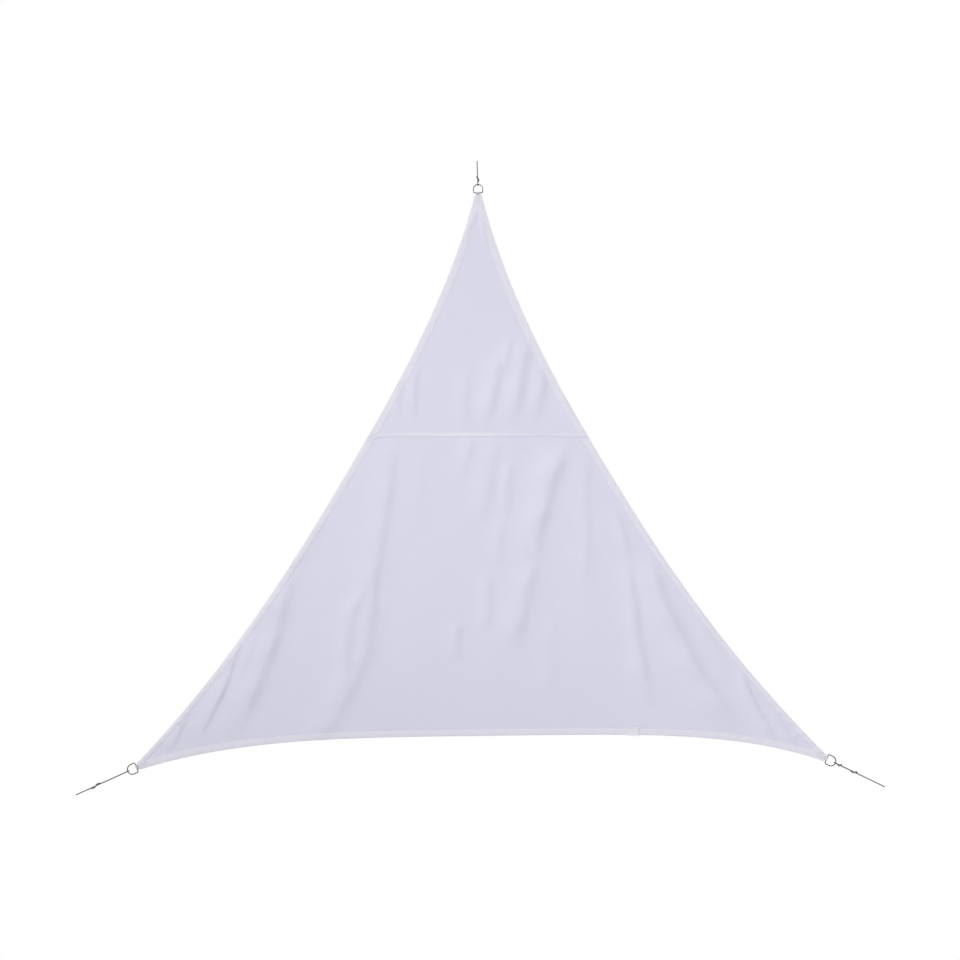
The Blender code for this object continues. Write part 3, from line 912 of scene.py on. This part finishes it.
# One stitch: the share along it, and the heights outwards and sideways in radii of the thread.
turn = 2 * np.pi * np.arange(THREAD_SIDES) / THREAD_SIDES
rings = [np.stack([0 * turn + share, 0.55 + np.cos(turn), np.sin(turn)], -1) for share in (0.22, 0.78)]
SPINDLE = np.concatenate([[(0.0, -0.8, 0.0)], *rings, [(1.0, -0.8, 0.0)]])
SPINDLE_FACES = []
tip = len(SPINDLE) - 1
for near in range(1, THREAD_SIDES + 1):
    near_next = near % THREAD_SIDES + 1
    far, far_next = near + THREAD_SIDES, near_next + THREAD_SIDES
    SPINDLE_FACES += [(0, near_next, near), (near, near_next, far_next, far), (far, far_next, tip)]


def spindles(line, outward):
    """The points of one row of stitches along a line; outward is -1 for the front."""
    line = evenly(line, STITCH)
    reach = np.diff(line, axis=0) * STITCH_SHARE
    way = unit(reach)
    out = np.array([0.0, float(outward), 0.0])
    out = unit(out - way * (way @ out)[:, None])
    directions = np.stack([reach, THREAD * out, THREAD * np.cross(way, out)], 1)
    return line[:-1, None] + SPINDLE @ directions


def stitching(name, rows, slot="sail_cloth"):
    """One mesh of several rows of stitches, each row a line and the side it is seen from."""
    points = np.concatenate([spindles(line, outward) for line, outward in rows])
    faces = [tuple(v + i * len(SPINDLE) for v in face) for i in range(len(points)) for face in SPINDLE_FACES]
    return piece_from(name, points.reshape(-1, 3), faces, thread_material, slot, sharp=80)


thread_material, tree, shader = new_material("polyester_thread")
twist = noise(tree, (2500.0, 2500.0, 2500.0))
fill(tree, shader, {
    "Base Color": mix_colours(tree, twist, (0.74, 0.73, 0.80), (0.86, 0.85, 0.90)),
    "Normal": raised(tree, twist, 0.00008),
    "Roughness": 0.55,
    "Sheen Weight": 0.2,
})
print("stitches ready")

# %% [markdown]
# The rows follow the hems on both faces of the cloth, and the seam on its front. At each corner the
# webbing is sewn behind the cloth with a box: a rectangle with a cross in it, the usual way to spread
# the load of a strap over many threads.

# %% Stitch lines
BOX_START, BOX_END, BOX_HALF = 0.008, 0.044, 0.0075     # the box stitch, inwards from the corner
MEETING_WIDTH = 2 * STITCH_IN / HEM_SLANT + 0.002       # where the two side rows run into each other
SIDE_ROW_END = 0.975


def row_on(surface, share, level, outward):
    """A stitch line on one face of a panel, and the side it is seen from."""
    front, back, _, _ = surface(share, level)
    return front if outward < 0 else back, outward


def side_rows(surface, edges, start, count):
    """The stitch lines of both side hems, on both faces of the cloth."""
    levels = np.linspace(start, SIDE_ROW_END, count)
    width = row_width(edges, levels)
    share = STITCH_IN * hem_scale(width) / width
    return [row_on(surface, across, levels, face) for across in (share, 1 - share) for face in (-1, 1)]


def corner_box(name, outward, lift):
    """The lines of a box stitch, inwards from a corner, at a height above the middle of the cloth."""
    a, b = (-BOX_START, -BOX_HALF, 0.0), (-BOX_END, -BOX_HALF, 0.0)
    c, d = (-BOX_END, BOX_HALF, 0.0), (-BOX_START, BOX_HALF, 0.0)
    rows = []
    for start, end in ((a, b), (b, c), (c, d), (d, a), (a, c), (d, b)):
        line = in_room(name, np.linspace(start, end, 12))
        line[:, 1] = cloth_depth(line[:, 0], line[:, 2]) + outward * lift
        rows.append((line, outward))
    return rows


meeting = next(level for level in np.linspace(0, 0.3, 301) if row_width(upper_edges, level) > MEETING_WIDTH)
print("the side rows of the head meet at level", round(float(meeting), 3))

# %% Sew the panels
upper_rows = side_rows(upper_surface, upper_edges, meeting, 400)
seam_share = np.linspace(0.008, 0.992, 300)
for from_edge in SEAM_ROWS:
    level = np.full(len(seam_share), 1 - from_edge / UPPER_HEIGHT)
    upper_rows.append(row_on(upper_surface, seam_share, level, -1))
upper_rows += corner_box("head", -1, HEM_HALF)
upper_stitches = stitching("upper_stitching", upper_rows)

lower_rows = side_rows(lower_surface, lower_edges, 0.024, 600)
bottom_share = np.linspace(0.006, 0.994, 900)
level = np.full(len(bottom_share), 1 - STITCH_IN / LOWER_HEIGHT)
lower_rows += [row_on(lower_surface, bottom_share, level, face) for face in (-1, 1)]
lower_rows += corner_box("left", -1, HEM_HALF) + corner_box("right", -1, HEM_HALF)
lower_stitches = stitching("lower_stitching", lower_rows)

# %% [markdown]
# ## Webbing loops
#
# Each ring hangs in a loop of flat polyester tape, 20 mm wide, that goes round the straight bar and
# is sewn behind the corner. Tape is stiff across and bends easily along, so it is built as a strip
# that follows one bent line, with ribs that run along it and soft, woven edges. A plain box would
# have hard edges that no tape has.

# %% Tape sizes and line
GAP = 0.0004              # air between pieces that lie on each other
BAR_GAP = 0.0003          # air between the ring's bar and the tape
WEB = 0.0014              # thickness
WEB_HALF = 0.010          # half the width
WEB_TAIL = 0.045          # length sewn behind the corner
HEM_CLOTH = 0.0024        # the thickness that the plain solid gives the hem
RIB = 0.0016              # from one rib to the next
RIB_HEIGHT = 0.00007
PICK = 0.0007             # from one cross thread to the next
WEB_BACK = HEM_CLOTH / 2 + 2 * GAP + 2 * WEB - 0.0001
FITTING_STEP = 0.0009     # between the rows of points along a tape or a ring


def strap_line():
    """The tape's middle line as (out, side, depth): behind the corner, round the bar, and back."""
    bend = WIRE + BAR_GAP + WEB / 2
    front_ply = HEM_CLOTH / 2 + GAP + WEB / 2
    back_ply = front_ply + WEB + GAP
    angles = np.radians(np.linspace(90, -135, 40))
    turn = np.stack([BAR_OUT + bend * np.cos(angles), 0 * angles, bend * np.sin(angles)], -1)
    tuck = turn[-1, 0] - (front_ply - turn[-1, 2])
    out = [(-WEB_TAIL, 0.0, back_ply), (0.0, 0.0, back_ply), (BAR_OUT * 0.5, 0.0, back_ply)]
    back = [(tuck, 0.0, front_ply), (-WEB_TAIL, 0.0, front_ply)]
    return evenly(np.concatenate([out, turn, back]), FITTING_STEP)


print("tape length in metres:", round(float(along(strap_line())[-1]), 3))

# %% Tape material
def tape_material(name, low, high, rib, bump, roughness):
    """Woven tape: ribs along it, fine threads across it, both read from the tape's own measures, with painted
    shade in the grooves between them.
    """
    material, tree, shader = new_material(name)
    measure = attribute(tree, "tape", "Vector")
    height = combined(tree, "MULTIPLY", stripes(tree, measure, rib, "X"), stripes(tree, measure, PICK, "Y"))
    wear = noise(tree, (900.0, 900.0, 900.0))
    # Painted shade: the colour runs from the low grey in the grooves between ribs and threads to the high
    # grey on top, times a noise for wear.
    fill(tree, shader, {
        "Base Color": mix_colours(tree, combined(tree, "MULTIPLY", height, wear), low, high),
        "Normal": raised(tree, height, bump),
        "Roughness": roughness,
        "Sheen Weight": 0.15,
    })
    return material


webbing_material = tape_material("webbing_tape", (0.55, 0.55, 0.57), (0.80, 0.80, 0.82), RIB, 0.00018, 0.7)
print("tape material:", len(webbing_material.node_tree.nodes), "nodes")

# %% Webbing
def webbing_loop(name):
    line = strap_line()
    side = np.linspace(-1, 1, 41)
    side = np.sign(side) * np.abs(side) ** 0.8 * WEB_HALF
    edge = np.sqrt(1 - np.clip((np.abs(side) - (WEB_HALF - 0.0006)) / 0.00062, 0, 1) ** 2)
    ribs = RIB_HEIGHT * np.cos(2 * np.pi * side / RIB)
    half = (WEB / 2 - 0.00010 + ribs) * np.maximum(edge, 0.15)
    middle = line[:, None] + np.stack([0 * side, side, 0 * side], -1)
    normal = np.cross(unit(np.gradient(line, axis=0)), (0.0, 1.0, 0.0))
    lift = normal[:, None] * half[:, None]
    points, faces = closed_sheet(in_room(name, middle + lift), in_room(name, middle - lift))
    tape = np.stack(np.broadcast_arrays(side, along(line)[:, None], 0.0), -1).reshape(-1, 3)
    kept = {"tape": np.tile(tape, (2, 1))}
    replaced = f"webbing_{name}"
    piece_from(f"webbing_loop_{name}", points, faces, webbing_material, "webbing", kept, replaced=replaced)
    stitching(f"webbing_stitching_{name}", corner_box(name, 1, WEB_BACK), "webbing")


for corner_name in ROPE_REACH:
    webbing_loop(corner_name)

# %% [markdown]
# ## D-rings
#
# The rings are bent from 5 mm stainless wire, and the two ends of the wire are welded at one end of
# the straight bar, where a small bead stands out. The ring is a closed tube on an outline of one
# half circle, two tight bends and a straight bar. Stainless steel is a metal shader with a mid grey,
# fine brushing that changes its roughness, and a slightly duller, straw-coloured patch at the weld.

# %% Ring outline
RING_CORNER = 0.006       # bend radius at the ends of the straight bar
RING_SIDES = 24
WELD_SIDE = -0.0125       # the weld bead, measured along the bar
WELD_HALF = 0.0011
WELD_HEIGHT = 0.00022


def ring_outline():
    """The wire's middle line in the corner's directions, closed."""
    half = RING_WIDE / 2
    centre = BAR_OUT + RING_HIGH - half
    low = BAR_OUT + RING_CORNER
    reach = half - RING_CORNER
    pieces = []
    for out, side, radius, start, end, steps in (
        (centre, 0.0, half, -90, 90, 64),
        (low, reach, RING_CORNER, 90, 180, 18),
        (low, -reach, RING_CORNER, 180, 270, 18),
    ):
        angles = np.radians(np.linspace(start, end, steps))
        turn = (out + radius * np.cos(angles), side + radius * np.sin(angles), 0 * angles)
        pieces.append(np.stack(turn, -1))
    return np.concatenate(pieces + [pieces[0][:1]])


print("wire length in metres:", round(float(along(ring_outline())[-1]), 3))

# %% Steel
steel_material, tree, shader = new_material("stainless_wire")
brushing = noise(tree, (1800.0, 300.0, 1800.0), detail=6.0)
grey = mix_colours(tree, brushing, (0.36, 0.36, 0.37), (0.54, 0.54, 0.55))
fill(tree, shader, {
    "Base Color": mix_colours(tree, attribute(tree, "weld"), grey, (0.40, 0.33, 0.24)),
    "Roughness": ranged(tree, brushing, from_min=0.3, from_max=0.7, to_min=0.14, to_max=0.34),
    "Normal": raised(tree, brushing, 0.00003),
    "Metallic": 1.0,
})
print("steel material:", len(tree.nodes), "nodes")

# %% Rings
def wire_ring(name):
    flat = evenly(ring_outline(), FITTING_STEP)[:-1]
    path = in_room(name, flat)
    tangents = unit(np.roll(path, -1, 0) - np.roll(path, 1, 0))
    to_back = np.tile([0.0, 1.0, 0.0], (len(path), 1))
    on_bar = np.abs(flat[:, 0] - BAR_OUT) < 0.0008
    weld = np.where(on_bar, bump_at(flat[:, 1], WELD_SIDE, WELD_HALF), 0.0)
    radius = np.repeat((WIRE - 0.00005 + WELD_HEIGHT * weld)[:, None], RING_SIDES, 1)
    points = tube_rings(path, to_back, np.cross(tangents, to_back), radius).reshape(-1, 3)
    faces = tube_faces(len(path), RING_SIDES, closed=True)
    kept = {"weld": np.repeat(weld, RING_SIDES)}
    replaced = f"ring_{name}"
    piece_from(f"wire_ring_{name}", points, faces, steel_material, "ring_steel", kept, 60, replaced)


for corner_name in ROPE_REACH:
    wire_ring(corner_name)

# %% [markdown]
# ## The label
#
# A small blank tab of woven satin is sewn to the front of the bottom hem, to the right of its middle.
# It is folded under at the top, where one row of stitches holds it, and its free lower edge curls a
# little to the front.

# %% Label
LABEL_WIDE = 0.052
LABEL_HIGH = 0.034
LABEL_HALF = 0.0003
LABEL_X = 0.677
LABEL_DROP = 0.004        # how far the label shows below the hem
LABEL_TURN = 0.005        # what is folded under at the top
LABEL_ROW = 0.0028        # from the top down to the stitches
LABEL_CURL = 0.0012       # how far the lower edge curls forward

left_end, right_end = (corner_point(n, 0.0, s * TIP_HALF, 0.0)[0] for n, s in (("left", 1), ("right", -1)))
label_bottom = float(edge_point("bottom", (LABEL_X - left_end) / (right_end - left_end))[1]) - LABEL_DROP
# The label's fine grooves get the same painted shade as the tape's.
label_material = tape_material("satin_label", (0.72, 0.72, 0.77), (0.93, 0.93, 0.96), 0.0005, 0.00004, 0.45)


def label_front(x, z):
    """The depth of the label's middle."""
    up = (z - label_bottom) / LABEL_HIGH
    curl = LABEL_CURL * np.clip(1 - up / 0.3, 0, 1) ** 2
    bow = 0.0004 * np.sin(np.pi * np.clip(up, 0, 1)) * np.sin(90.0 * (x - LABEL_X) + 0.7)
    return cloth_depth(x, z) - HEM_CLOTH / 2 - 2 * GAP - LABEL_HALF - curl - bow


columns = LABEL_X + LABEL_WIDE * np.linspace(-0.5, 0.5, 40)
rows = label_bottom + LABEL_HIGH * np.linspace(1, 0, 28)
x, z = np.meshgrid(columns, rows)
fold = 1 + 0.8 * smooth((z - (label_bottom + LABEL_HIGH - LABEL_TURN)) / 0.001)
points, faces = closed_sheet(*two_faces(x, label_front(x, z), z, LABEL_HALF * fold))
tape = np.stack([x - LABEL_X, z, 0 * x], -1).reshape(-1, 3)
kept = {"tape": np.tile(tape, (2, 1))}
label = piece_from("label_tab", points, faces, label_material, "label", kept, replaced="hem_label")
row_x = LABEL_X + LABEL_WIDE * np.linspace(-0.46, 0.46, 30)
row_z = np.full(30, label_bottom + LABEL_HIGH - LABEL_ROW)
label_row = np.stack([row_x, label_front(row_x, row_z) - 1.8 * LABEL_HALF, row_z], -1)
label_stitches = stitching("label_stitching", [(label_row, -1)])
print("label from z", round(label_bottom, 3))

# %% [markdown]
# ## What the sheets were cut from
#
# A sheet of cloth has the size it was cut to before it was hung. The upper panel is a triangle about
# 1.00 by 1.16 m and the lower one a four-sided piece about 2.98 by 1.48 m, and their flat areas
# follow from their outlines, added up and printed here.

def flat_area(place):
    """The area of a panel in the plane of the sail, added up from small cells."""
    at = place(np.linspace(0, 1, 200)[None, :], np.linspace(0, 1, 120)[:, None])
    wide = (np.diff(at["x"][:-1]) + np.diff(at["x"][1:])) / 2
    high = at["z"][:-1] - at["z"][1:]
    return round(float((wide * (high[:, :-1] + high[:, 1:]) / 2).sum()), 3)


upper_area, lower_area = flat_area(upper_place), flat_area(lower_place)
print("flat areas:", upper_area, "and", lower_area, "square metres")

# %% [markdown]
# ## Floor and surroundings
#
# The sail hangs in a bare white studio. A floor that is lit like everything else would show a grey
# horizon behind a white sail, so it reflects nothing and gives off a plain white of its own, no more
# than full white, or it would bleed over the thin ropes. It is kept out of the diffuse light, because
# a floor as bright as that would light the folds from below and wash them out.

# %% Floor
FLOOR_BELOW = 0.40        # how far the floor lies below the lowest rope end
FLOOR_HALF = 40.0
floor_z = frame_box[0].z - FLOOR_BELOW
square = ((-1, -1), (1, -1), (1, 1), (-1, 1))
corners_of_floor = [(x * FLOOR_HALF, y * FLOOR_HALF, floor_z) for x, y in square]
floor_mesh = bpy.data.meshes.new("floor")
floor_mesh.from_pydata(corners_of_floor, [], [(0, 1, 2, 3)])
floor = placed("floor", floor_mesh)
floor_material, tree, shader = new_material("white_floor")
fill(tree, shader, {
    "Base Color": (0.0, 0.0, 0.0, 1.0),
    "Roughness": 1.0,
    "Specular IOR Level": 0.0,
    "Emission Color": (1.0, 1.0, 1.0, 1.0),
    "Emission Strength": 1.0,
})
floor_mesh.materials.append(floor_material)
floor.visible_diffuse = False
floor.visible_glossy = False
print("floor at", round(floor_z, 3))

# %% [markdown]
# ## Light
#
# White cloth on white needs quiet light: the folds are there to be seen, but nothing may burn out.
# Most of the light comes evenly from the surroundings, a little brighter from above than from below.
# A broad sun-like key from the upper left rakes across the ridges, so that the flank to the right of
# each fold falls into soft shade. A lamp for the key would be brighter on the near corner than on
# the far one, which is 3 m further away, and a sun is not. A wide panel in front lifts the middle,
# and one behind shows the back of the hems and glows a little through the cloth.
#
# Steel shows only what it reflects, and a white room would make it vanish. So the surroundings are
# darker for reflections, with a bright ceiling and a bright wall at the left.

# %% Surroundings
ROOM_LIGHT = 0.650
world = bpy.data.worlds.new("studio")
world.use_nodes = True
bpy.context.scene.world = world
tree = world.node_tree
tree.nodes.clear()
way = node(tree, "SeparateXYZ", {0: node(tree, "TexCoord").outputs["Generated"]}).outputs
room = mix_colours(tree, ranged(tree, way["Z"], from_min=-1.0), (0.42, 0.42, 0.435), (1.05, 1.05, 1.05))
ceiling = ranged(tree, way["Z"], from_min=0.25, from_max=0.60)
left_wall = ranged(tree, way["X"], from_min=-0.55, from_max=-0.80)
bright = combined(tree, "MAXIMUM", ceiling, left_wall)
mirrored = mix_colours(tree, bright, (0.06, 0.06, 0.065), (1.1, 1.1, 1.1))
rays = node(tree, "LightPath").outputs
lit = node(tree, "Background", {"Color": room, "Strength": ROOM_LIGHT}).outputs[0]
shown = node(tree, "Background", {"Color": mirrored, "Strength": 1.0}).outputs[0]
seen = node(tree, "Background", {"Color": (1.0, 1.0, 1.0, 1.0), "Strength": 1.0}).outputs[0]
in_steel = node(tree, "MixShader", {0: rays["Is Glossy Ray"], 1: lit, 2: shown}).outputs[0]
all_rays = node(tree, "MixShader", {0: rays["Is Camera Ray"], 1: in_steel, 2: seen}).outputs[0]
fill(tree, node(tree, "OutputWorld"), {"Surface": all_rays})
bpy.context.scene.view_settings.view_transform = "Standard"
print("surroundings ready")

# %% Lamps
def lamp(name, kind, place, target, power, **settings):
    """A lamp that shines from a place towards a target and doesn't show itself."""
    data = bpy.data.lights.new(name, kind)
    data.energy = power
    for key, value in settings.items():
        setattr(data, key, value)
    made = placed(name, data)
    made.location = place
    made.rotation_euler = (Vector(target) - Vector(place)).to_track_quat("-Z", "Y").to_euler()
    made.visible_camera = False
    made.visible_glossy = False
    print(name, "at", place)


SAIL_MIDDLE = (0.0, 0.0, -1.6)
lamp("key_sun", "SUN", (-5.0, -3.2, 0.6), SAIL_MIDDLE, 1.97, angle=math.radians(16))
lamp("front_panel", "AREA", (1.3, -4.6, -1.0), SAIL_MIDDLE, 63.0, shape="DISK", size=2.2)
lamp("back_lamp", "AREA", (2.5, 4.5, 0.5), SAIL_MIDDLE, 100.0, shape="DISK", size=2.5)

# %% [markdown]
# ## The end
#
# The last call brings the scene up to date.

# %% Finish
bpy.context.view_layer.update()
